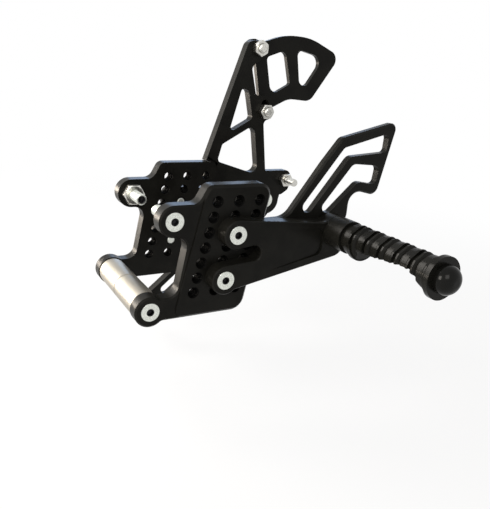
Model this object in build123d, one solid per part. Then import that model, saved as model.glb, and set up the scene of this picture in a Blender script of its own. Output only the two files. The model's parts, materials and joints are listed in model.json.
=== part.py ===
from build123d import *
import os

os.makedirs("parts", exist_ok=True)

# Millimetres. X runs to the rear, Y to the right of the machine, Z up.
# The origin is on the axis of the lower frame fixing, half way between the two sides.
# Depths are distances from the middle plane; the left side is built at minus Y and mirrored.

# Fasteners
m8_radius = 4.0
m10_radius = 5.0
head_radius = 8.0
socket_flats = 5.0
socket_depth = 3.2
m8_nut_flats = 13.0
m8_nut_height = 6.5
m10_nut_flats = 17.0
m10_nut_height = 8.0
bolt_head_height = 5.3
thread_show = 3.0

# Clearances
thread_gap = 0.1
screw_gap = 0.15
fit_gap = 0.1
turning_gap = 0.05
side_gap = 0.2

# Depths of the layers
spacer_length = 44.0
plate_thickness = 12.0
pad_rise = 1.0
hanger_thickness = 13.0
guard_thickness = 6.5
bracket_thickness = 9.0
fan_thickness = 5.0

# Frame fixings
spacer_radius = 12.0
spacer_chamfer = 1.0
frame_boss_radius = 12.8
upper_bolt_x = 18.0
upper_bolt_z = 72.0
upper_stud_end = 18.0
joining_stud_length = 40.0
lower_screw_reach = 18.0
relief_width = 1.5
relief_depth = 0.8
relief_offset = 0.5

# Mounting plate
rows = 7
columns = 3
grid_x = 53.0
grid_z = 86.3
column_pitch = 19.05
row_dx = -2.91
row_dz = -12.31
hole_chamfer = 0.8
top_margin = 13.2
bottom_margin = 21.2
right_margin_first = 10.4
right_margin_last = 12.6
step_margin = 11.7
plate_chamfer = 2.4
upper_screw_row = 2
lower_screw_row = 5
screw_column = 1

# Hanger
peg_x = 164.3
arm_z = 58.8
peg_drop = 1.2
ear_radius = 12.0
peg_boss_radius = 14.0
gap_end = 22.3
pocket_depth = 2.0
hanger_chamfer = 0.9

# Heel guards
lobe_radius = 14.5
foot_screw_dx = -50.0
foot_screw_dz = 1.5
foot_screw_reach = 9.0
guard_bevel = 1.5
fan_boss_radius = 8.5
fan_bolt_dx = -22.6
fan_bolt_dz = 146.2
fan_low_dx = -10.8
fan_low_dz = 88.7
fan_slot = 7.0

# Footpeg
sleeve_length = 20.0
sleeve_radius = 14.0
spigot_radius = 8.0
peg_length = 99.5
core_radius = 11.5
band_radius = 13.3
ridge_radius = 14.1
band_offset = 5.2
band_width = 7.3
ridge_width = 1.5
ridge_ramp = 1.2
ring_offset = 10.5
ring_width = 3.2
ring_crest = 1.5
ring_radius = 13.9
band_pitch = 16.15
bands = 6
flat_distance = 13.05
flat_lean = 32.5
flute_width = 2.2
flute_floor = 13.2
lug_offset = 12.0
lug_width = 3.6
lug_radius = 15.3
flange_width = 4.0
flange_radius = 16.5
cap_radius = 11.2
cap_height = 11.5
cap_rounding = 9.2
cap_spigot_radius = 6.0
cap_spigot_length = 8.0
peg_screw_reach = 34.0

# Brake pedal
pedal_thickness = 9.0
bush_wall = 2.0
washer_thickness = 1.0
washer_radius = 15.0
hub_radius = 15.0
stud_dx = 35.7
stud_dz = 15.2
stud_length = 30.0
toe_dx = -114.3
toe_dz = -110.3
toe_end_radius = 11.0
pedal_lean = 40.4
upper_rail = 5.0
lower_rail = 6.0
upper_bend = 135.4
lower_bend = 122.0
bend_radius = 20.0
slot_start = 15.0
slot_end = 126.0
slot_corner = 4.5
toe_peg_radius = 8.0
toe_peg_length = 36.0
toe_peg_chamfer = 1.0
toe_screw_radius = 3.0
toe_screw_head = 6.0
toe_screw_reach = 14.0
toe_socket_flats = 4.0

# Faces and places that follow
peg_z = arm_z - peg_drop
plate_arm_face = spacer_length + plate_thickness
pad_face = plate_arm_face + pad_rise
hanger_face = pad_face + hanger_thickness
guard_inner = pad_face - guard_thickness
bracket_inner = pad_face - bracket_thickness
fan_face = pad_face + fan_thickness
peg_shoulder = hanger_face + sleeve_length
peg_end = peg_shoulder + peg_length
foot_screw_x = peg_x + foot_screw_dx
foot_screw_z = arm_z + foot_screw_dz


# Drawing helpers: sketches are in X and Z, depths are measured from the middle plane
def outline(*corners):
    points = [(x, z) for x, z, radius in corners]
    radii = [radius for x, z, radius in corners]
    return make_face(FilletPolyline(*points, radius=radii, close=True))


def disc(x, z, radius):
    return Pos(x, z) * Circle(radius)


def slab(sketch, near, far):
    return extrude(Plane.XZ.offset(near) * sketch, amount=far - near)


def rod(x, z, radius, near, far):
    return slab(disc(x, z, radius), near, far)


def tube(x, z, outer, inner, near, far):
    return slab(disc(x, z, outer) - disc(x, z, inner), near, far)


def turned(x, z, *profile):
    plane = Plane(origin=(x, 0, z), x_dir=(1, 0, 0), z_dir=(0, 0, -1))
    face = plane * make_face(Polyline(*profile, close=True))
    return revolve(face, Axis((x, 0, z), (0, -1, 0)))


def hexagon(x, z, flats):
    return Pos(x, z) * RegularPolygon(flats / 3**0.5, 6)


def soften(sketch, x, z, radius):
    corner = sketch.vertices().sort_by_distance((x, z, 0))[0]
    return fillet(corner, radius)


def outer_rim(solid, depth):
    face = solid.faces().filter_by(Plane.XZ).sort_by_distance((0, -depth, 0))
    flat = [f for f in face if abs(f.center().Y + depth) < 0.01]
    return max(flat, key=lambda f: f.area).outer_wire().edges()


# Countersunk shape from the flat of the head to the tip, grown for its hole
def countersunk(x, z, face, tip, shank=m8_radius, head=head_radius, grow=0.0):
    way = 1 if tip > face else -1
    wide = head + grow
    thin = shank + grow
    neck = face + way * (wide - thin)
    return turned(x, z, (0, face), (wide, face), (thin, neck), (thin, tip), (0, tip))


def screw(x, z, face, tip, shank=m8_radius, head=head_radius, flats=socket_flats):
    way = 1 if tip > face else -1
    floor = face + way * socket_depth
    socket = slab(hexagon(x, z, flats), min(face, floor), max(face, floor))
    return countersunk(x, z, face, tip, shank, head) - socket


def nut(x, z, flats, bore, near, far):
    return slab(hexagon(x, z, flats) - disc(x, z, bore), near, far)


def save(name, shape):
    export_step(shape, "parts/" + name + ".step")


def save_pair(name, shape):
    save("left_" + name, shape)
    save("right_" + name, mirror(shape, about=Plane.XZ))


def save_right(name, shape):
    save(name, mirror(shape, about=Plane.XZ))


def grid(row, column):
    return (grid_x + column * column_pitch + row * row_dx, grid_z + row * row_dz)


# X of the line through two points at a given height
def at_height(first, last, z):
    return first[0] + (last[0] - first[0]) * (z - first[1]) / (last[1] - first[1])


upper_screw = grid(upper_screw_row, screw_column)
lower_screw = grid(lower_screw_row, screw_column)


# Mounting plate: two frame bosses on arms and a raised pad with the leaning grid of tapped holes
def mounting_plate():
    top = grid_z + top_margin
    bottom = grid(rows - 1, 0)[1] - bottom_margin
    first = (grid(0, columns - 1)[0] + right_margin_first, grid_z)
    last = (grid(rows - 1, columns - 1)[0] + right_margin_last, grid(rows - 1, 0)[1])
    step_first = (grid_x - step_margin, grid_z)
    step_last = (grid(rows - 1, 0)[0] - step_margin, grid(rows - 1, 0)[1])
    boss_top = upper_bolt_z + frame_boss_radius
    boss_low = upper_bolt_z - frame_boss_radius
    shape = outline(
        (grid_x - 7.5, top, 7),
        (at_height(first, last, top), top, 10),
        (at_height(first, last, bottom), bottom, 12),
        (0, bottom, 0),
        (0, frame_boss_radius - 2.8, 0),
        (22, frame_boss_radius - 2.8, 10),
        (31, boss_low, 9),
        (upper_bolt_x, boss_low, 0),
        (upper_bolt_x, boss_top, 0),
        (grid_x - 15.5, boss_top, 9),
    )
    shape += disc(0, 0, frame_boss_radius)
    shape += disc(upper_bolt_x, upper_bolt_z, frame_boss_radius)
    shape = soften(shape, 9.4, bottom, 5)
    shape = soften(shape, 8, frame_boss_radius - 2.8, 5)
    body = slab(shape, spacer_length, pad_face)
    body = chamfer(outer_rim(body, pad_face), plate_chamfer)
    step = outline(
        (at_height(step_first, step_last, top + 1), top + 1, 0),
        (at_height(step_first, step_last, bottom), bottom, 8),
        (at_height(step_first, step_last, bottom) + 12, bottom, 0),
        (at_height(step_first, step_last, bottom) + 12, bottom - 9, 0),
        (-frame_boss_radius - 1, bottom - 9, 0),
        (-frame_boss_radius - 1, top + 1, 0),
    )
    body -= slab(step, plate_arm_face, pad_face + 1)
    holes = Sketch() + [
        disc(*grid(row, column), m8_radius + thread_gap)
        for row in range(rows)
        for column in range(columns)
    ]
    body -= slab(holes, spacer_length - 1, pad_face + 1)
    hole_edge = body.faces().filter_by(Plane.XZ).sort_by(Axis.Y)[0].inner_wires()
    body = chamfer(ShapeList([e for w in hole_edge for e in w.edges()]), hole_chamfer)
    body -= countersunk(0, 0, plate_arm_face, spacer_length - 1, grow=screw_gap)
    body -= countersunk(
        upper_bolt_x,
        upper_bolt_z,
        plate_arm_face,
        spacer_length - 1,
        shank=m10_radius,
        grow=screw_gap,
    )
    return body


# Hanger: two ears, a slot between them and a tapering arm out to the peg boss
def hanger():
    gap_low = lower_screw[1] + ear_radius
    gap_high = upper_screw[1] - ear_radius
    end_x = upper_screw[0] + gap_end
    shape = outline(
        (upper_screw[0], upper_screw[1] + ear_radius, 0),
        (peg_x, arm_z + 6.7, 0),
        (peg_x + peg_boss_radius, peg_z, 0),
        (peg_x + 7.7, arm_z - 22.8, 12),
        (lower_screw[0], lower_screw[1] - ear_radius + 1.8, 0),
        (lower_screw[0], gap_low, 0),
        (end_x, gap_low + 2.2, 6.5),
        (end_x, gap_high + 3.2, 6.5),
        (upper_screw[0], gap_high, 0),
    )
    shape += disc(*upper_screw, ear_radius)
    shape += disc(*lower_screw, ear_radius)
    shape += disc(peg_x, peg_z, peg_boss_radius)
    shape = soften(shape, peg_x - 11, arm_z + 7.6, 12)
    body = slab(shape, pad_face, hanger_face)
    body = chamfer(outer_rim(body, hanger_face), hanger_chamfer)
    pocket = outline(
        (peg_x - 72, arm_z + 3, 0),
        (peg_x - 13.5, arm_z + 3, 7),
        (peg_x - 14.5, arm_z - 20.3, 7),
        (peg_x - 72, arm_z - 31.1, 0),
    )
    ramp = make_face(
        Polyline(
            (peg_x - 70, -hanger_face),
            (peg_x - 13, -hanger_face + pocket_depth),
            (peg_x - 13, -hanger_face - 1),
            (peg_x - 70, -hanger_face - 1),
            close=True,
        )
    )
    wedge = extrude(Plane.XY * ramp, amount=arm_z + 40)
    body -= slab(pocket, hanger_face - pocket_depth, hanger_face + 1) & wedge
    for x, z in (upper_screw, lower_screw):
        body -= countersunk(x, z, hanger_face, pad_face - 1, grow=screw_gap)
    body -= rod(peg_x, peg_z, m8_radius + screw_gap, pad_face - 1, hanger_face + 1)
    screw_end = pad_face + foot_screw_reach + 0.5
    body -= rod(foot_screw_x, foot_screw_z, m8_radius + thread_gap, pad_face - 1, screw_end)
    return body


# Holes that both heel guards share: the peg screw and the foot screw, sunk from inside
def guard_holes(inner):
    holes = countersunk(peg_x, peg_z, inner, pad_face + 1, grow=screw_gap)
    holes += countersunk(foot_screw_x, foot_screw_z, inner, pad_face + 1, grow=screw_gap)
    return holes


# Left heel guard: a swept plate with two bent slots
def heel_guard():
    shape = outline(
        (peg_x - 65.5, arm_z - 6, 4),
        (peg_x - 65.5, arm_z + 10.3, 3),
        (peg_x - 45.4, arm_z + 10.8, 16),
        (peg_x - 12, arm_z + 56.5, 60),
        (peg_x + 4.9, arm_z + 77.3, 8),
        (peg_x + 67, arm_z + 92.8, 6),
        (peg_x + 52.2, arm_z + 25.2, 8),
        (peg_x + 21, arm_z + 32.5, 11),
        (peg_x + 21, arm_z + 9, 8),
        (peg_x + lobe_radius, peg_z - lobe_radius, 12),
        (peg_x - lobe_radius, peg_z - lobe_radius, 12),
    )
    body = slab(shape, guard_inner, pad_face)
    body = chamfer(outer_rim(body, pad_face), guard_bevel)
    outer_slot = outline(
        (peg_x - 35, arm_z + 14.2, 5.4),
        (peg_x - 21.5, arm_z + 13.7, 4.5),
        (peg_x + 15.8, arm_z + 61.5, 8),
        (peg_x + 56.7, arm_z + 64.9, 4),
        (peg_x + 56.9, arm_z + 82, 4),
        (peg_x + 8, arm_z + 69.2, 6),
    )
    inner_slot = outline(
        (peg_x - 14.4, arm_z + 12.7, 5),
        (peg_x - 0.3, arm_z + 12.7, 4),
        (peg_x + 28.5, arm_z + 39, 8),
        (peg_x + 48.9, arm_z + 35.8, 4),
        (peg_x + 50.7, arm_z + 53, 5),
        (peg_x + 20.1, arm_z + 55.1, 7),
    )
    body -= slab(outer_slot + inner_slot, guard_inner - 1, pad_face + 1)
    return body - guard_holes(guard_inner)


fan_top = (peg_x + fan_bolt_dx, arm_z + fan_bolt_dz)
fan_low = (peg_x + fan_low_dx, arm_z + fan_low_dz)


# Right heel guard bracket: a braced leg from the hanger up to the two bolts of the fan
def heel_guard_bracket():
    shape = outline(
        (peg_x - 64.8, arm_z - 5, 4),
        (peg_x - 61.8, arm_z + 23, 10),
        (peg_x - 60.3, arm_z + 38.7, 6),
        (peg_x - 71.1, arm_z + 43.5, 2),
        (fan_top[0] - 11.1, fan_top[1] + 5.5, 7),
        (fan_top[0] + 10.5, fan_top[1] + 9, 7),
        (fan_top[0] + 8, fan_top[1] - 6, 6),
        (fan_top[0] - 6.2, fan_top[1] - 17, 5),
        (fan_low[0] - 11, fan_low[1] + 14.5, 3),
        (fan_low[0] + 8.5, fan_low[1] + 14.5, 8.4),
        (fan_low[0] + 8.5, fan_low[1] - 7.5, 5),
        (fan_low[0] - 0.6, fan_low[1] - 8, 5),
        (peg_x - 4.1, arm_z + 28.7, 10),
        (peg_x + 17, arm_z + 10.5, 7),
        (peg_x + lobe_radius, peg_z, 0),
        (peg_x, peg_z - lobe_radius, 0),
    )
    shape += disc(peg_x, peg_z, lobe_radius)
    shape -= outline(
        (fan_low[0] - 27, fan_low[1] + 20.5, 3),
        (fan_low[0] - 19.7, fan_low[1] + 19.5, 4),
        (fan_low[0] - 13.2, fan_low[1] - 7.3, 4),
        (fan_low[0] - 38.5, fan_low[1] - 21.5, 3),
    )
    shape -= outline(
        (fan_low[0] - 10.4, fan_low[1] - 12.8, 6),
        (peg_x - 13, arm_z + 25.7, 7),
        (peg_x - 59.8, arm_z + 40.2, 4),
        (fan_low[0] - 44.6, fan_low[1] - 32, 4),
    )
    body = slab(shape, bracket_inner, pad_face)
    slot = Pos(fan_low[0], fan_low[1] + fan_slot / 2) * Rot(0, 0, 90)
    slot *= SlotCenterToCenter(fan_slot, 2 * (m8_radius + screw_gap))
    body -= slab(slot, bracket_inner - 1, pad_face + 1)
    body -= rod(*fan_top, m8_radius + screw_gap, bracket_inner - 1, pad_face + 1)
    return body - guard_holes(bracket_inner)


# Right heel guard fan: a curved plate with two windows, bolted to the bracket
def heel_guard_fan():
    shape = outline(
        (fan_top[0], fan_top[1], 0),
        (fan_top[0] + 10.3, fan_top[1] + 6.5, 12),
        (fan_top[0] + 34.3, fan_top[1] + 15, 70),
        (fan_top[0] + 64.3, fan_top[1] + 15, 70),
        (fan_top[0] + 104, fan_top[1], 9),
        (fan_low[0] + 59.5, fan_low[1] + 11, 12),
        (fan_low[0] + 32.5, fan_low[1] + 12.5, 25),
        (fan_low[0] + 12, fan_low[1] + 2.5, 0),
        (fan_low[0], fan_low[1], 0),
        (fan_low[0] - 3.2, fan_low[1] + 18.5, 15),
    )
    shape += disc(*fan_top, fan_boss_radius)
    shape += disc(*fan_low, fan_boss_radius)
    shape -= outline(
        (fan_top[0] + 14.8, fan_top[1] - 7, 4),
        (fan_top[0] + 36, fan_top[1] + 1, 6),
        (fan_low[0] + 32.8, fan_low[1] + 27, 2.5),
        (fan_low[0] + 11, fan_low[1] + 15, 7),
    )
    shape -= outline(
        (fan_top[0] + 49.6, fan_top[1] + 3.2, 5),
        (fan_top[0] + 83.8, fan_top[1] - 3.2, 9),
        (fan_low[0] + 46.3, fan_low[1] + 15.9, 6.5),
    )
    body = slab(shape, pad_face, fan_face)
    for x, z in (fan_top, fan_low):
        body -= rod(x, z, m8_radius + screw_gap, pad_face - 1, fan_face + 1)
    return body


# Hexagon bolt through fan and bracket, head outside
def fan_bolt(x, z):
    tip = bracket_inner - m8_nut_height - thread_show
    head = slab(hexagon(x, z, m8_nut_flats), fan_face, fan_face + bolt_head_height)
    return head + rod(x, z, m8_radius, tip, fan_face)


# Cuts along the grip: a flat on either side of the top and a flute that parts the ridges into teeth
def peg_cuts():
    flat = Pos(0, flat_distance + flange_radius / 2) * Rectangle(2 * flange_radius, flange_radius)
    top = 2 * ridge_radius - flute_floor
    flute = make_face(Polyline((-flute_width, top), (flute_width, top), (0, flute_floor), close=True))
    return Rot(0, 0, flat_lean) * flat + Rot(0, 0, -flat_lean) * flat + flute


# Footpeg: spigot, grip with ramped bands and rings, scooped from below at a slant, end flange
def footpeg():
    profile = [(0, hanger_face), (spigot_radius, hanger_face), (spigot_radius, peg_shoulder)]
    profile += [(core_radius, peg_shoulder)]
    for band in range(bands):
        start = peg_shoulder + band_offset + band * band_pitch
        end = start + band_width
        profile += [(core_radius, start), (band_radius, start)]
        profile += [(band_radius, end - ridge_width - ridge_ramp), (ridge_radius, end - ridge_width)]
        profile += [(ridge_radius, end), (core_radius, end)]
        if band < bands - 1:
            ring = start + ring_offset
            profile += [(core_radius, ring), (ring_radius, ring)]
            profile += [(ring_radius, ring + ring_crest), (core_radius, ring + ring_width)]
    flange = peg_end - flange_width
    profile += [(core_radius, flange), (flange_radius, flange), (flange_radius, peg_end)]
    profile += [(cap_spigot_radius + fit_gap, peg_end)]
    profile += [(cap_spigot_radius + fit_gap, peg_end - cap_spigot_length - 1)]
    profile += [(0, peg_end - cap_spigot_length - 1)]
    body = turned(peg_x, peg_z, *profile)
    body -= slab(Pos(peg_x, peg_z) * peg_cuts(), peg_shoulder, flange)
    lug = disc(peg_x, peg_z, lug_radius)
    lug &= Pos(peg_x, peg_z - lug_radius) * Rectangle(2 * lug_radius, 2 * lug_radius)
    lug_far = peg_shoulder + lug_offset + lug_width
    body += slab(lug, peg_shoulder + lug_offset, lug_far)
    scoop = outline(
        (-lug_far - 0.9, peg_z - 30, 0),
        (-lug_far - 0.9, peg_z - 13, 2),
        (-lug_far - 4.9, peg_z - 4.3, 4),
        (-peg_end + 20.5, peg_z + 1.8, 14),
        (-peg_end + flange_width + 1, peg_z - 13, 3),
        (-peg_end + flange_width + 1, peg_z - 30, 0),
    )
    body -= extrude(Plane.YZ.offset(peg_x) * scoop, amount=20, both=True)
    bore_end = hanger_face + peg_screw_reach + 1
    body -= rod(peg_x, peg_z, m8_radius + thread_gap, hanger_face - 1, bore_end)
    return body


# Domed plug in the outer end of the peg
def footpeg_end_cap():
    body = rod(peg_x, peg_z, cap_radius, peg_end, peg_end + cap_height)
    body = fillet(outer_rim(body, peg_end + cap_height), cap_rounding)
    return body + rod(peg_x, peg_z, cap_spigot_radius, peg_end - cap_spigot_length, peg_end)


# Brake pedal: a long slotted arm to the toe peg and a short arm for the pushrod stud
hub_near = hanger_face + washer_thickness + side_gap
hub_far = peg_shoulder - washer_thickness - side_gap
bush_radius = spigot_radius + fit_gap + bush_wall
arm_far = hub_near + pedal_thickness
stud = (peg_x + stud_dx, arm_z + stud_dz)
toe = (peg_x + toe_dx, arm_z + toe_dz)


# Corner on the long arm, measured along and across it from the toe peg
def on_arm(along, across, radius):
    point = Vector(*toe) + Vector(along, across).rotate(Axis.Z, pedal_lean)
    return (point.X, point.Y, radius)


def brake_pedal():
    shape = outline(
        on_arm(0, toe_end_radius, 0),
        on_arm(upper_bend, toe_end_radius, bend_radius),
        (peg_x - 1.5, arm_z + 25.2, 10),
        (peg_x + 44, arm_z + 25.2, 7),
        (peg_x + 42.3, arm_z + 4, 6),
        (peg_x + 33.5, arm_z - 1.5, 10),
        (peg_x + 10, arm_z - 4, 0),
        (peg_x + 12, peg_z - 7, 0),
        on_arm(lower_bend, -toe_end_radius, bend_radius),
        on_arm(0, -toe_end_radius, 0),
    )
    shape += disc(*toe, toe_end_radius)
    shape += disc(peg_x, peg_z, hub_radius)
    slot_top = toe_end_radius - upper_rail
    slot_low = lower_rail - toe_end_radius
    shape -= outline(
        on_arm(slot_start, slot_top, slot_corner),
        on_arm(slot_end, slot_top, slot_corner),
        on_arm(slot_end, slot_low, slot_corner),
        on_arm(slot_start, slot_low, slot_corner),
    )
    body = slab(shape, hub_near, arm_far)
    body += rod(peg_x, peg_z, hub_radius, hub_near, hub_far)
    body -= rod(peg_x, peg_z, bush_radius + turning_gap, hub_near - 1, hub_far + 1)
    body -= rod(*stud, m8_radius + thread_gap, hub_near - 1, arm_far + 1)
    body -= countersunk(*toe, hub_near, arm_far + 1, toe_screw_radius, toe_screw_head, screw_gap)
    return body


# Toe peg: plain cylinder with a tapped end
def brake_toe_peg():
    body = rod(*toe, toe_peg_radius, arm_far, arm_far + toe_peg_length)
    body = chamfer(outer_rim(body, arm_far + toe_peg_length), toe_peg_chamfer)
    bore_end = hub_near + pedal_thickness + toe_screw_reach + 1
    return body - rod(*toe, toe_screw_radius + thread_gap, arm_far - 1, bore_end)


# Pushrod stud: screwed into the short arm, its free end set off by a relief groove
def pushrod_stud():
    body = rod(*stud, m8_radius, arm_far - stud_length, arm_far)
    return body - relief(*stud, m8_radius, hub_near - m8_nut_height)


# Spacer between a plate and the middle plane, tapped through
def spacer():
    body = rod(0, 0, spacer_radius, 0, spacer_length)
    for end in (0, spacer_length):
        body = chamfer(outer_rim(body, end), spacer_chamfer)
    return body - rod(0, 0, m8_radius + thread_gap, -1, spacer_length + 1)


# Relief groove of a stud, just clear of the nut that starts at the given depth
def relief(x, z, radius, nut_face):
    far = nut_face - relief_offset
    return tube(x, z, radius + 1, radius - relief_depth, far - relief_width, far)


# Upper frame bolt: countersunk outside, long stud end with a socket inside
def upper_frame_bolt():
    body = screw(upper_bolt_x, upper_bolt_z, plate_arm_face, upper_stud_end, m10_radius)
    body -= relief(upper_bolt_x, upper_bolt_z, m10_radius, spacer_length - m10_nut_height)
    hole = hexagon(upper_bolt_x, upper_bolt_z, socket_flats)
    return body - slab(hole, upper_stud_end - 1, upper_stud_end + socket_depth)


save_pair("mounting_plate", mounting_plate())
save_pair("hanger", hanger())
save_pair("hanger_screw_upper", screw(*upper_screw, hanger_face, spacer_length))
save_pair("hanger_screw_lower", screw(*lower_screw, hanger_face, spacer_length))
save_pair("upper_frame_bolt", upper_frame_bolt())
save_pair(
    "upper_frame_nut",
    nut(
        upper_bolt_x,
        upper_bolt_z,
        m10_nut_flats,
        m10_radius + thread_gap,
        spacer_length - m10_nut_height,
        spacer_length,
    ),
)
save_pair("lower_frame_screw", screw(0, 0, plate_arm_face, spacer_length - lower_screw_reach))
save_pair("spacer", spacer())
save(
    "joining_stud",
    extrude(Plane.XZ * Circle(m8_radius), amount=joining_stud_length / 2, both=True),
)
save_pair("footpeg", footpeg())
save_pair("footpeg_end_cap", footpeg_end_cap())

save("left_footpeg_screw", screw(peg_x, peg_z, guard_inner, hanger_face + peg_screw_reach))
save(
    "left_footpeg_sleeve",
    tube(peg_x, peg_z, sleeve_radius, spigot_radius + fit_gap, hanger_face, peg_shoulder),
)
save("left_heel_guard", heel_guard())
save(
    "left_guard_screw",
    screw(foot_screw_x, foot_screw_z, guard_inner, pad_face + foot_screw_reach),
)

save_right("right_footpeg_screw", screw(peg_x, peg_z, bracket_inner, hanger_face + peg_screw_reach))
save_right("right_heel_guard_bracket", heel_guard_bracket())
save_right("right_heel_guard_fan", heel_guard_fan())
save_right(
    "right_guard_screw",
    screw(foot_screw_x, foot_screw_z, bracket_inner, pad_face + foot_screw_reach),
)
for name, place in (("upper", fan_top), ("lower", fan_low)):
    save_right("fan_bolt_" + name, fan_bolt(*place))
    save_right(
        "fan_nut_" + name,
        nut(
            *place,
            m8_nut_flats,
            m8_radius + thread_gap,
            bracket_inner - m8_nut_height,
            bracket_inner,
        ),
    )

save_right("brake_pedal", brake_pedal())
save_right(
    "brake_pedal_bush",
    tube(peg_x, peg_z, bush_radius, spigot_radius + fit_gap, hanger_face, peg_shoulder),
)
for name, near in (("inner", hanger_face), ("outer", peg_shoulder - washer_thickness)):
    save_right(
        "pedal_washer_" + name,
        tube(peg_x, peg_z, washer_radius, bush_radius + fit_gap, near, near + washer_thickness),
    )
save_right("brake_toe_peg", brake_toe_peg())
save_right(
    "brake_toe_screw",
    screw(
        *toe,
        hub_near,
        arm_far + toe_screw_reach,
        toe_screw_radius,
        toe_screw_head,
        toe_socket_flats,
    ),
)
save_right("pushrod_stud", pushrod_stud())
save_right(
    "pushrod_nut",
    nut(*stud, m8_nut_flats, m8_radius + thread_gap, hub_near - m8_nut_height, hub_near),
)
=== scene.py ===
import json
import math

import bmesh
import bpy
import numpy as np
from mathutils import Matrix, Vector


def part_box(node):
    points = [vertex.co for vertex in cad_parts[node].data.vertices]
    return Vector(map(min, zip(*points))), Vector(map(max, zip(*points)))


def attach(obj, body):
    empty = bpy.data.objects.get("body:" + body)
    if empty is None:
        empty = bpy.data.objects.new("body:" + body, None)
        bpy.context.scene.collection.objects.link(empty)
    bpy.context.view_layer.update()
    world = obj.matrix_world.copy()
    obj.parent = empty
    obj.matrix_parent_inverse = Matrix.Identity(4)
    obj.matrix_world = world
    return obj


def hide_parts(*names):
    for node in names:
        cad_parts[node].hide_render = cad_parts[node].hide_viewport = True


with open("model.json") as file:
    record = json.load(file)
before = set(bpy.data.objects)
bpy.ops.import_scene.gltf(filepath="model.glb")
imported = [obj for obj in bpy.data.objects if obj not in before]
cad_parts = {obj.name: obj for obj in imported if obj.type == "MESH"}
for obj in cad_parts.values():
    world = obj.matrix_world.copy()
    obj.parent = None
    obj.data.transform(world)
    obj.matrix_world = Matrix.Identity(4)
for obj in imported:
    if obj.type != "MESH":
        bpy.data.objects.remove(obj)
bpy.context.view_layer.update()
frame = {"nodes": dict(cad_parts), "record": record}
print("frame loaded")


# camera: where it stood for the photograph, in metres, and what was right and up in the picture
cameraValues = {
    "place": (-0.14509, -0.434256, 0.186368),
    "right": (0.86781, -0.49134, 0.07408),
    "up": (0.09440, 0.30939, 0.94624),
    "focalPixels": 560.0,
    "widthPixels": 490.0,
    "sensorWidth": 36.0,
    "clipStart": 0.01,
}


def setCamera(values):
    data = bpy.data.cameras.new("camera")
    data.sensor_fit = "HORIZONTAL"
    data.sensor_width = values["sensorWidth"]
    data.lens = values["focalPixels"] * values["sensorWidth"] / values["widthPixels"]
    data.clip_start = values["clipStart"]
    right = Vector(values["right"]).normalized()
    back = right.cross(Vector(values["up"])).normalized()
    up = back.cross(right)
    turn = Matrix((right, up, back)).transposed().to_4x4()
    camera = bpy.data.objects.new("camera", data)
    camera.matrix_world = Matrix.Translation(values["place"]) @ turn
    bpy.context.scene.collection.objects.link(camera)
    bpy.context.scene.camera = camera


setCamera(cameraValues)
print("camera set")


# shader sockets with ordinary arithmetic
class Sock:
    def __init__(self, tree, socket):
        self.tree = tree
        self.socket = socket

    def node(self, kind, inputs=None, out=0, **settings):
        made = self.tree.nodes.new(kind)
        for key, value in settings.items():
            setattr(made, key, value)
        for key, value in (inputs or {}).items():
            if isinstance(value, Sock):
                self.tree.links.new(value.socket, made.inputs[key])
            else:
                made.inputs[key].default_value = value
        return Sock(self.tree, made.outputs[out])

    def math(self, operation, a, b):
        return self.node("ShaderNodeMath", {0: a, 1: b}, operation=operation)

    def __add__(self, other):
        return self.math("ADD", self, other)

    def __radd__(self, other):
        return self.math("ADD", other, self)

    def __sub__(self, other):
        return self.math("SUBTRACT", self, other)

    def __rsub__(self, other):
        return self.math("SUBTRACT", other, self)

    def __mul__(self, other):
        return self.math("MULTIPLY", self, other)

    def __rmul__(self, other):
        return self.math("MULTIPLY", other, self)

    def step(self, low, high):
        return self.node(
            "ShaderNodeMapRange",
            {"Value": self, "From Min": low, "From Max": high},
            interpolation_type="SMOOTHSTEP",
        )

    def mixColour(self, a, b):
        return self.node("ShaderNodeMix", {0: self, 6: a, 7: b}, out=2, data_type="RGBA")


def newMaterial(name):
    material = bpy.data.materials.new(name)
    material.use_nodes = True
    shader = material.node_tree.nodes["Principled BSDF"]
    place = material.node_tree.nodes.new("ShaderNodeTexCoord").outputs["Object"]
    return material, shader, Sock(material.node_tree, place)


def feed(shader, name, value):
    if isinstance(value, Sock):
        value.tree.links.new(value.socket, shader.inputs[name])
    else:
        shader.inputs[name].default_value = value


# noise over the object's own coordinates: it lies between 0 and 1, with its middle at a half
noiseMiddle = 0.5


def noise(place, scale, detail):
    return place.node("ShaderNodeTexNoise", {"Vector": place, "Scale": scale, "Detail": detail})


# base colour that goes from dark to light between the two edges of a noise
def patternColour(values, pattern):
    return pattern.step(*values["edges"]).mixColour(values["dark"], values["light"])


# roughness that swings about its plain value with a noise
def patternRoughness(values, pattern):
    return values["roughness"] + (pattern - noiseMiddle) * values["swing"]


def patternBump(values, pattern):
    inputs = {"Height": pattern, "Strength": values["bump"], "Distance": values["bumpHeight"]}
    return pattern.node("ShaderNodeBump", inputs)


# black anodised aluminium
anodisedValues = {
    "dark": (0.0062, 0.0060, 0.0050, 1.0),
    "light": (0.0100, 0.0097, 0.0082, 1.0),
    "edges": (0.3, 0.7),
    "cloud": 60.0,
    "cloudDetail": 3.0,
    "grain": 900.0,
    "grainDetail": 2.0,
    "roughness": 0.34,
    "swing": 0.12,
    "specular": 0.08,
    "bump": 0.06,
    "bumpHeight": 0.0002,
}
# the pegs are turned and come out of the bath glossier than the milled plates
pegValues = dict(anodisedValues, roughness=0.23, specular=0.1)


def anodised(name, values):
    material, shader, place = newMaterial(name)
    cloud = noise(place, values["cloud"], values["cloudDetail"])
    grain = noise(place, values["grain"], values["grainDetail"])
    feed(shader, "Base Color", patternColour(values, cloud))
    feed(shader, "Roughness", patternRoughness(values, cloud))
    feed(shader, "Specular IOR Level", values["specular"])
    feed(shader, "Normal", patternBump(values, grain))
    return material


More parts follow.
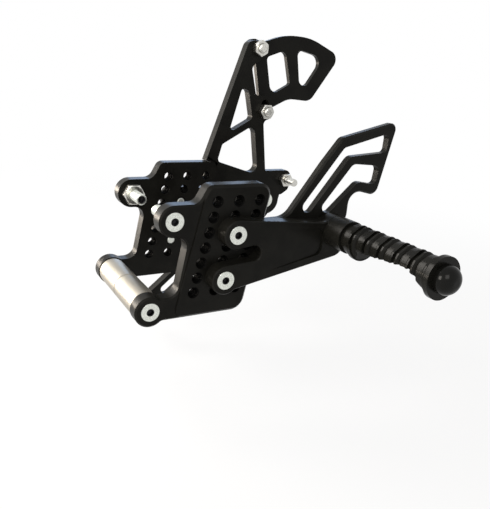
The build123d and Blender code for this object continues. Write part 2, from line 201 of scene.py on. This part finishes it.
# painted shade inside the tapped holes: near black and duller than the faces, standing in for the shade
# that falls in them
holePaintedShadeValues = {
    "colour": (0.0025, 0.0025, 0.0023, 1.0),
    "cloud": 700.0,
    "cloudDetail": 2.0,
    "roughness": 0.6,
    "swing": 0.2,
    "specular": 0.03,
}
# glossy moulded caps
plasticValues = {
    "colour": (0.005, 0.005, 0.0045, 1.0),
    "cloud": 300.0,
    "cloudDetail": 2.0,
    "roughness": 0.16,
    "swing": 0.1,
    "specular": 0.12,
}


def plainBlack(name, values):
    material, shader, place = newMaterial(name)
    cloud = noise(place, values["cloud"], values["cloudDetail"])
    feed(shader, "Base Color", values["colour"])
    feed(shader, "Roughness", patternRoughness(values, cloud))
    feed(shader, "Specular IOR Level", values["specular"])
    return material


# bright zinc plated steel, mottled by the bath
steelValues = {
    "dark": (0.52, 0.51, 0.475, 1.0),
    "light": (0.62, 0.61, 0.57, 1.0),
    "edges": (0.35, 0.65),
    "mottle": 900.0,
    "mottleDetail": 2.0,
    "cloud": 260.0,
    "cloudDetail": 3.0,
    "roughness": 0.27,
    "swing": 0.1,
}
# the flat heads of the screws are paler and more finely speckled
screwSteelValues = dict(
    steelValues,
    dark=(0.56, 0.575, 0.53, 1.0),
    light=(0.78, 0.80, 0.74, 1.0),
    mottle=1500.0,
    roughness=0.3,
)


def brightSteel(name, values):
    material, shader, place = newMaterial(name)
    cloud = noise(place, values["cloud"], values["cloudDetail"])
    mottle = noise(place, values["mottle"], values["mottleDetail"])
    feed(shader, "Base Color", patternColour(values, mottle))
    feed(shader, "Metallic", 1.0)
    feed(shader, "Roughness", patternRoughness(values, cloud))
    return material


# turned bare aluminium, fine rings along the axis
turnedValues = {
    "dark": (0.29, 0.272, 0.236, 1.0),
    "light": (0.34, 0.319, 0.277, 1.0),
    "edges": (0.3, 0.7),
    "rings": 2600.0,
    "roughness": 0.46,
    "swing": 0.2,
    "bump": 0.1,
    "bumpHeight": 0.0001,
}


def turnedAluminium(values):
    material, shader, place = newMaterial("turnedAluminium")
    along = place.node("ShaderNodeSeparateXYZ", {0: place}, out=1)
    ring = place.node("ShaderNodeTexNoise", {"W": along, "Scale": values["rings"]}, noise_dimensions="1D")
    feed(shader, "Base Color", patternColour(values, ring))
    feed(shader, "Metallic", 1.0)
    feed(shader, "Roughness", patternRoughness(values, ring))
    feed(shader, "Normal", patternBump(values, ring))
    return material


# sintered bronze of the bush and its washers, porous
bronzeValues = {
    "dark": (0.48, 0.32, 0.16, 1.0),
    "light": (0.66, 0.47, 0.26, 1.0),
    "edges": (0.35, 0.6),
    "pores": 1200.0,
    "poreDetail": 2.0,
    "roughness": 0.38,
    "swing": 0.25,
}


def bronze(values):
    material, shader, place = newMaterial("bronze")
    pores = noise(place, values["pores"], values["poreDetail"])
    feed(shader, "Base Color", patternColour(values, pores))
    feed(shader, "Metallic", 1.0)
    feed(shader, "Roughness", patternRoughness(values, pores))
    return material


# painted shade inside the screw sockets: a dull, near black metal lining
socketPaintedShadeValues = {
    "colour": (0.022, 0.022, 0.024, 1.0),
    "cloud": 900.0,
    "cloudDetail": 2.0,
    "roughness": 0.38,
    "swing": 0.3,
}


def socketSteel(values):
    material, shader, place = newMaterial("socketSteel")
    cloud = noise(place, values["cloud"], values["cloudDetail"])
    feed(shader, "Base Color", values["colour"])
    feed(shader, "Metallic", 1.0)
    feed(shader, "Roughness", patternRoughness(values, cloud))
    return material


looks = {
    "black_anodised": anodised("blackAnodised", anodisedValues),
    "peg_anodised": anodised("pegAnodised", pegValues),
    "bright_steel": brightSteel("brightSteel", steelValues),
    "screw_steel": brightSteel("screwSteel", screwSteelValues),
    "turned_aluminium": turnedAluminium(turnedValues),
    "black_plastic": plainBlack("blackPlastic", plasticValues),
    "bronze": bronze(bronzeValues),
    # painted shade for the insides of the screw sockets
    "socket": socketSteel(socketPaintedShadeValues),
    # painted shade for the walls and threads of the empty holes
    "thread": plainBlack("threadBlack", holePaintedShadeValues),
}
pegNodes = ["left_footpeg", "right_footpeg"]
for part in frame["record"]["subparts"]:
    node = frame["nodes"][part["node"]]
    look = "peg_anodised" if part["node"] in pegNodes else part["material_slot"]
    node.data.materials.clear()
    node.data.materials.append(looks[look])
print("materials set")


# new pieces are worked out in millimetres, and the scene is in metres
perMetre = 1000
mergeDistance = 1e-6
# the two coordinates of a place that isn't along Y
planeXZ = [0, 2]


# low and high corner of a CAD node
def nodeBox(node):
    return np.array(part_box(node)) * perMetre


# one mesh from stacked grids of points, each of rows by columns
def gridPiece(name, grids, material, body):
    count, rows, columns = grids.shape[:3]
    index = np.arange(count * rows * columns).reshape(count, rows, columns)
    faces = np.stack(
        [index[:, :-1, :-1], index[:, :-1, 1:], index[:, 1:, 1:], index[:, 1:, :-1]], axis=-1
    ).reshape(-1, 4)
    mesh = bpy.data.meshes.new(name)
    mesh.from_pydata((grids.reshape(-1, 3) / perMetre).tolist(), [], faces.tolist())
    shell = bmesh.new()
    shell.from_mesh(mesh)
    bmesh.ops.remove_doubles(shell, verts=shell.verts, dist=mergeDistance)
    shell.to_mesh(mesh)
    shell.free()
    mesh.materials.append(material)
    piece = bpy.data.objects.new(name, mesh)
    bpy.context.scene.collection.objects.link(piece)
    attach(piece, body)
    return piece


# an outer wall looks outwards where its rows go along Y and side is -1, or against Y and side is 1
rowsAlongY = -1


# points of a shape round an axis along Y: radius and depth are rows by columns
def roundAxis(centre, radius, depth, turn, side):
    x = centre[0] + radius * np.cos(side * turn)
    z = centre[2] + radius * np.sin(side * turn)
    return np.stack([x, depth + 0 * x, z], axis=-1)


# tapped grid holes that stand empty: a lining of painted shade and its thread, also coloured with painted
# shade, worked out on the right side
holeValues = {
    "mount": "right_plate_hole",
    "plate": "right_mounting_plate",
    "screws": ("right_hanger_screw_upper", "right_hanger_screw_lower"),
    "screwRows": (2, 5),
    "screwColumn": 1,
    "columns": 3,
    "rows": 7,
    "liningGap": 0.02,
    "chamfer": 0.8,
    "crest": 3.5,
    "pitch": 1.25,
    "across": (-0.48, -0.08, 0.08, 0.48),
    "profile": (0.0, 1.0, 1.0, 0.0),
    "firstTurn": 0.5,
    "runOutTurns": 0.5,
    "threadFromBack": 0.7,
    "threadFromFace": 1.8,
    "stepsPerTurn": 20,
}


# the mount gives the first hole, and the two screws give the steps from row to row and from column
# to column
def holeCentres(hole, values):
    first = np.array(hole["pos_m"])[planeXZ] * perMetre
    upper, lower = [nodeBox(node).mean(axis=0)[planeXZ] for node in values["screws"]]
    upperRow, lowerRow = values["screwRows"]
    rowStep = (lower - upper) / (lowerRow - upperRow)
    columnStep = (upper - first - upperRow * rowStep) / values["screwColumn"]
    filled = [(row, values["screwColumn"]) for row in values["screwRows"]]
    places = [
        (row, column)
        for row in range(values["rows"])
        for column in range(values["columns"])
        if (row, column) not in filled
    ]
    steps = np.array(places, dtype=float)
    return first + steps[:, :1] * rowStep + steps[:, 1:] * columnStep


# a point runs round its hole while it climbs one pitch a turn; across the strip the radius goes
# root, crest, crest, root, and both ends run out into the wall
def threadStrip(bore, back, face, values):
    start = back + values["threadFromBack"]
    turns = (face - values["threadFromFace"] - start) / values["pitch"] - 1
    turn = np.linspace(0, turns, round(turns * values["stepsPerTurn"]))[:, None]
    across = np.array(values["across"])[None, :]
    profile = np.array(values["profile"])[None, :]
    runOut = np.clip(np.minimum(turn, turns - turn) / values["runOutTurns"], 0, 1)
    radius = bore - (bore - values["crest"]) * profile * runOut
    angle = turn * 2 * math.pi + 0 * across
    return radius, start + values["pitch"] * (turn + across + values["firstTurn"]), angle


# rows of the painted shade lining from the rim over the sunk edge and down the wall to the far mouth
def boreShadeLining(bore, back, face, values):
    turn = np.linspace(0, 2 * math.pi, values["stepsPerTurn"] + 1)[None, :]
    radius = np.array([bore + values["chamfer"], bore, bore])[:, None]
    depth = np.array([face, face - values["chamfer"], back])[:, None]
    return radius + 0 * turn, depth, turn


# the wall of a hole looks inwards, so it takes the opposite side
def gridHoles(values):
    hole = next(mount for mount in frame["record"]["mounts"] if mount["name"] == values["mount"])
    back, face = nodeBox(values["plate"])[:, 1]
    bore = hole["dims"]["r_mm"] - values["liningGap"]
    centres = holeCentres(hole, values)
    strips = {
        "Threads": threadStrip(bore, back, face, values),
        "Bores": boreShadeLining(bore, back, face, values),
    }
    for side, plate in ((-1, "leftPlate"), (1, "rightPlate")):
        for kind, (radius, depth, turn) in strips.items():
            grids = [roundAxis((x, 0, z), radius, side * depth, turn, -side) for x, z in centres]
            gridPiece(plate + kind, np.array(grids), looks["thread"], "frame_set")


gridHoles(holeValues)
print("grid holes set")


# hexagon nuts and bolts with chamfered corners, and the threads that show beyond the nuts
hexValues = {
    "stepsPerSide": 4,
    "cornerNudge": 1e-9,
    "circle": 0.95,
    "lean": math.tan(math.radians(30)),
    "lead": 0.5,
    "tipChamfer": 1.0,
    "threadDepth": 0.55,
    "threadSteps": 4,
    "radii": {"m6": 3.0, "m8": 4.0, "m10": 5.0},
    "pitches": {"m6": 1.0, "m8": 1.25, "m10": 1.5},
    "boltHead": 5.3,
    "boltThread": 9.0,
    "studThread": 13.0,
    "nutTurns": {"fan_nut_upper": 30.0},
}


def turnSteps(values):
    return np.linspace(0, 2 * math.pi, 6 * values["stepsPerSide"] + 1)[None, :]


# round the axis the radius follows the hexagon, and the edge of a face sinks where it leaves its circle
def hexagonEdge(flats, values):
    turn = turnSteps(values)
    fromFlat = np.mod(turn + values["cornerNudge"], math.pi / 3) - math.pi / 6
    edge = flats / 2 / np.cos(fromFlat)
    circle = np.full_like(turn, flats / 2 * values["circle"])
    return turn, edge, circle, (edge - circle) * values["lean"]


# rows from the rim of the bore over the near face, the flats and the far face back through the bore
def hexNut(node, metric, values):
    low, high = nodeBox(node)
    turn, edge, circle, sink = hexagonEdge(high[2] - low[2], values)
    turn = turn + math.radians(values["nutTurns"].get(node, 0.0))
    lead = values["lead"]
    wall = np.full_like(turn, values["radii"][metric])
    rim = wall + lead
    radius = np.vstack([wall, rim, circle, edge, edge, circle, rim, wall, wall])
    near = np.full_like(turn, low[1])
    far = np.full_like(turn, high[1])
    nearRows = [near + lead, near, near, near + sink]
    farRows = [far - sink, far, far, far - lead, near + lead]
    depth = np.vstack(nearRows + farRows)
    return roundAxis((low + high) / 2, radius, depth, turn, rowsAlongY)


# a thread climbs one pitch a turn: its radius is a triangle wave of depth along and angle round
def threadRows(metric, near, far, turn, values):
    pitch = values["pitches"][metric]
    count = int((far - near) / pitch * values["threadSteps"]) + 1
    depth = np.linspace(near, far, count)[:, None] + 0 * turn
    wave = np.abs(np.mod(depth / pitch - turn / (2 * math.pi), 1) * 2 - 1)
    return values["radii"][metric] - values["threadDepth"] * wave, depth


# rows from the threaded tip along the shank to the head and over it to its middle
def hexBolt(node, metric, values):
    low, high = nodeBox(node)
    lead = values["lead"]
    tip = low[1]
    threadEnd = tip + values["boltThread"]
    seat = high[1] - values["boltHead"]
    turn, edge, circle, sink = hexagonEdge(high[2] - low[2], values)
    thread, along = threadRows(metric, tip + lead, threadEnd, turn, values)
    none = 0 * turn
    shank = none + values["radii"][metric]
    chamfer = shank - values["tipChamfer"]
    radius = np.vstack([none, chamfer, thread, shank, shank, edge, edge, circle, none])
    top = none + high[1]
    shankRows = [none + tip, none + tip, along, none + threadEnd + lead]
    headRows = [none + seat, none + seat, top - sink, top, top]
    depth = np.vstack(shankRows + headRows)
    return roundAxis((low + high) / 2, radius, depth, turn, rowsAlongY)


# a stud threaded over its free length, plain where it is screwed in
def threadedStud(node, metric, values):
    low, high = nodeBox(node)
    lead = values["lead"]
    tip = low[1]
    threadEnd = tip + values["studThread"]
    turn = turnSteps(values)
    thread, along = threadRows(metric, tip + lead, threadEnd, turn, values)
    none = 0 * turn
    shank = none + values["radii"][metric]
    radius = np.vstack([none, shank - values["tipChamfer"], thread, shank, shank, none])
    plain = [none + threadEnd + lead, none + high[1], none + high[1]]
    depth = np.vstack([none + tip, none + tip, along] + plain)
    return roundAxis((low + high) / 2, radius, depth, turn, rowsAlongY)


def hexagons(values):
    frameNuts = ["left_upper_frame_nut", "right_upper_frame_nut"]
    fanNuts = ["fan_nut_upper", "fan_nut_lower"]
    fanBolts = ["fan_bolt_upper", "fan_bolt_lower"]
    pieces = {
        "frameNuts": (frameNuts, "frame_set", [hexNut(node, "m10", values) for node in frameNuts]),
        "fanNuts": (fanNuts, "frame_set", [hexNut(node, "m8", values) for node in fanNuts]),
        "fanBolts": (fanBolts, "frame_set", [hexBolt(node, "m8", values) for node in fanBolts]),
        "pushrodNut": (["pushrod_nut"], "brake_pedal", [hexNut("pushrod_nut", "m8", values)]),
        "pushrodStud": (["pushrod_stud"], "brake_pedal", [threadedStud("pushrod_stud", "m8", values)]),
    }
    for name, (nodes, body, grids) in pieces.items():
        piece = gridPiece(name, np.array(grids), looks["bright_steel"], body)
        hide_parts(*nodes)


hexagons(hexValues)
print("hexagon nuts and bolts set")


# countersunk screws: the head lies just under the rim of its sink, which leaves a dark ring round it
screwValues = dict(
    hexValues,
    stepsPerSide=8,
    recess=0.15,
    ring=0.35,
    rimRound=0.2,
    socketFlats={"m6": 4.0, "m8": 5.0, "m10": 5.0},
    socketDepth=3.25,
    drillPoint=0.4,
    socketLead=0.3,
    liningGap=0.03,
    tipSocket="m10",
)
# the end at which the heads are, the thread, the thread's length and the screws of each piece
screwPieces = {
    "leftHangerScrews": ("outer", "m8", 10.0, ["left_hanger_screw_upper", "left_hanger_screw_lower"]),
    "rightHangerScrews": ("outer", "m8", 10.0, ["right_hanger_screw_upper", "right_hanger_screw_lower"]),
    "frameScrews": ("outer", "m8", 10.0, ["left_lower_frame_screw", "right_lower_frame_screw"]),
    "frameBolts": ("outer", "m10", 26.0, ["left_upper_frame_bolt", "right_upper_frame_bolt"]),
    "pegScrews": ("inner", "m8", 10.0, ["left_footpeg_screw", "right_footpeg_screw"]),
    "guardScrews": ("inner", "m8", 10.0, ["left_guard_screw", "right_guard_screw"]),
    "toeScrew": ("inner", "m6", 10.0, ["brake_toe_screw"]),
}


# middle of a screw, the way that its head looks along Y, the Y of its face, its length and head radius
def screwPlace(node, end):
    low, high = nodeBox(node)
    centre = (low + high) / 2
    side = 1 if centre[1] > 0 else -1
    outward = side if end == "outer" else -side
    face = high[1] if outward > 0 else low[1]
    size = high - low
    return centre, outward, face, size[1], size[0] / 2


# rows of a hexagon socket from its drill point to its lead-in circle; sink is measured from the face
def socketRows(flats, values):
    turn, hexagon = hexagonEdge(flats, values)[:2]
    none = 0 * turn
    lead = none + flats / math.sqrt(3) + values["socketLead"]
    floor = none + values["socketDepth"]
    radius = [none, hexagon, hexagon, lead]
    return turn, radius, [floor + values["drillPoint"], floor, (lead - hexagon) * values["lean"], none]


# rows from the drill point up the socket, over the head, down the cone and along the thread to the
# tip, which has a socket of its own on the long frame bolts
def countersunkScrew(node, end, metric, threadLength, values):
    centre, outward, face, length, head = screwPlace(node, end)
    turn, socket, socketSink = socketRows(values["socketFlats"][metric], values)
    none = 0 * turn
    shank = none + values["radii"][metric]
    rim = none + head - values["ring"]
    start = length - threadLength
    thread, along = threadRows(metric, start, length - values["lead"], turn, values)
    headRadius = [rim - values["rimRound"], rim, rim, shank, shank]
    recess = none + values["recess"]
    headSink = [recess, recess + values["rimRound"], none + values["ring"]]
    headSink += [head - shank, none + start - values["lead"]]
    tipRadius, tipSink = [none], [none + length]
    if metric == values["tipSocket"]:
        tipRadius, tipSink = socket[::-1], [length - row for row in socketSink[::-1]]
    tipRadius = [shank - values["tipChamfer"]] + tipRadius
    tipSink = [none + length] + tipSink
    radius = np.vstack(socket + headRadius + [thread] + tipRadius)
    sink = np.vstack([row + recess for row in socketSink] + headSink + [along] + tipSink)
    return roundAxis(centre, radius, face - outward * sink, turn, outward)


# lining of painted shade in a socket: the same rows, a hair nearer to the eye
def socketShadeLining(centre, outward, face, flats, values):
    turn, radius, sink = socketRows(flats, values)
    near = np.maximum(np.vstack(radius) - values["liningGap"], 0)
    depth = np.vstack(sink) + values["recess"] - values["liningGap"]
    return roundAxis(centre, near, face - outward * depth, turn, outward)


def screws(values, pieces):
    shadeLinings = {"frame_set": [], "brake_pedal": []}
    for name, (end, metric, threadLength, nodes) in pieces.items():
        body = "brake_pedal" if name == "toeScrew" else "frame_set"
        flats = values["socketFlats"][metric]
        grids = [countersunkScrew(node, end, metric, threadLength, values) for node in nodes]
        piece = gridPiece(name, np.array(grids), looks["screw_steel"], body)
        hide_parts(*nodes)
        for node in nodes:
            centre, outward, face, length = screwPlace(node, end)[:4]
            shadeLinings[body].append(socketShadeLining(centre, outward, face, flats, values))
            if metric == values["tipSocket"]:
                tip = face - outward * (length + values["recess"])
                shadeLinings[body].append(socketShadeLining(centre, -outward, tip, flats, values))
    # the linings of painted shade, one piece for each body
    for body, name in (("frame_set", "screwSockets"), ("brake_pedal", "toeScrewSocket")):
        gridPiece(name, np.array(shadeLinings[body]), looks["socket"], body)


screws(screwValues, screwPieces)
print("countersunk screws set")


# foot of the right bracket's leg, down to the rounded corner of the plate: the two places on the leg
# are X and Z from the middle of that corner
footValues = {
    "cornerRadius": 10.0,
    "gap": 0.4,
    "turnFrom": 87.7,
    "turnTo": 10.0,
    "legFoot": (1.94, 14.8),
    "legInner": (13.55, 7.5),
    "steps": 14,
}


# each section is a four-sided ring: its low side follows the corner of the plate at a constant
# gap, its high side is a straight line inside the leg, and both ends close in their middle
def bracketFoot(values):
    inner, outer = nodeBox("right_heel_guard_bracket")[:, 1]
    corner = nodeBox("right_mounting_plate")[1, planeXZ] - values["cornerRadius"]
    share = np.linspace(0, 1, values["steps"])[:, None]
    angle = np.radians(values["turnFrom"] + (values["turnTo"] - values["turnFrom"]) * share)
    radius = values["cornerRadius"] + values["gap"]
    arc = corner + radius * np.hstack([np.cos(angle), np.sin(angle)])
    leg = corner + np.array(values["legFoot"]) * (1 - share) + np.array(values["legInner"]) * share
    ring = [(arc, inner), (arc, outer), (leg, outer), (leg, inner), (arc, inner)]
    columns = [np.stack([edge[:, 0], 0 * edge[:, 0] + y, edge[:, 1]], axis=-1) for edge, y in ring]
    sections = np.stack(columns, axis=1)
    middle = sections[:, :-1].mean(axis=1, keepdims=True) + 0 * sections
    grid = np.concatenate([middle[:1], sections, middle[-1:]])
    gridPiece("bracketFoot", grid[None], looks["black_anodised"], "frame_set")


bracketFoot(footValues)
print("bracket foot set")


# floor in metres, and white surroundings
stageValues = {
    "floor": -0.1,
    "half": 6.0,
    "pale": (0.8, 0.8, 0.8, 1.0),
    "white": (1.0, 1.0, 1.0, 1.0),
    "roughness": 0.9,
    "glow": 0.85,
    "fade": (0.35, 1.1),
    "world": 0.22,
}


# share of the rays that see the white surroundings: from the camera, off gloss and through glass
def seenShare(tree):
    rays = tree.nodes.new("ShaderNodeLightPath")
    seen = Sock(tree, rays.outputs["Is Camera Ray"])
    glossy = Sock(tree, rays.outputs["Is Glossy Ray"])
    through = Sock(tree, rays.outputs["Is Transmission Ray"])
    return seen.math("MAXIMUM", seen.math("MAXIMUM", seen, glossy), through)


# the floor keeps the object's shadow near by and fades into plain white further off
def paleFloor(values):
    material, shader, place = newMaterial("floorPale")
    tree = material.node_tree
    feed(shader, "Base Color", values["pale"])
    feed(shader, "Roughness", values["roughness"])
    white = place.node("ShaderNodeEmission", {"Color": values["white"]})
    distance = place.node("ShaderNodeVectorMath", {0: place}, out=1, operation="LENGTH")
    far = distance.step(*values["fade"])
    glow = values["glow"] + (1.0 - values["glow"]) * far
    factor = seenShare(tree) * glow
    mixed = place.node("ShaderNodeMixShader", {0: factor, 1: Sock(tree, shader.outputs[0]), 2: white})
    tree.links.new(mixed.socket, tree.nodes["Material Output"].inputs["Surface"])
    return material


def setStage(values):
    half = values["half"]
    corners = [(-half, -half), (half, -half), (half, half), (-half, half)]
    mesh = bpy.data.meshes.new("floor")
    mesh.from_pydata([(x, y, values["floor"]) for x, y in corners], [], [(0, 1, 2, 3)])
    mesh.materials.append(paleFloor(values))
    floor = bpy.data.objects.new("floor", mesh)
    bpy.context.scene.collection.objects.link(floor)
    world = bpy.data.worlds.new("studio")
    bpy.context.scene.world = world
    world.use_nodes = True
    back = world.node_tree.nodes["Background"]
    feed(back, "Color", values["white"])
    feed(back, "Strength", values["world"] + seenShare(world.node_tree) * (1.0 - values["world"]))


setStage(stageValues)


# soft panels: place, aim, size in metres, power in watts, colour
lightValues = {
    "key": ((-0.48, 0.85, 0.03), (0.06, 0, 0.05), (0.9, 0.16), 9.0, (1.0, 0.88, 0.74)),
    "rim": ((-0.45, 0.52, 0.45), (0.15, -0.15, 0.06), (0.35, 0.9), 10.5, (1.0, 0.95, 0.88)),
    "side": ((-1.0, -0.1, 0.45), (0.08, 0, 0.06), (0.5, 0.5), 10.0, (1.0, 0.94, 0.86)),
    "fill": ((-0.5, -1.2, 0.9), (0.08, 0, 0.06), (0.7, 0.7), 7.0, (1.0, 0.97, 0.92)),
    "sky": ((0.65, 1.05, 0.42), (0.1, 0, 0.06), (0.7, 0.3), 2.0, (0.36, 0.6, 1.0)),
}


def setLights(values):
    for name, (place, aim, size, power, colour) in values.items():
        data = bpy.data.lights.new(name, "AREA")
        data.shape = "RECTANGLE"
        data.size, data.size_y = size
        data.energy = power
        data.color = colour
        lamp = bpy.data.objects.new(name, data)
        turn = (Vector(aim) - Vector(place)).to_track_quat("-Z", "Y")
        lamp.matrix_world = Matrix.Translation(place) @ turn.to_matrix().to_4x4()
        lamp.visible_camera = False
        bpy.context.scene.collection.objects.link(lamp)


setLights(lightValues)
bpy.context.scene.view_settings.view_transform = "Standard"
print("stage set")
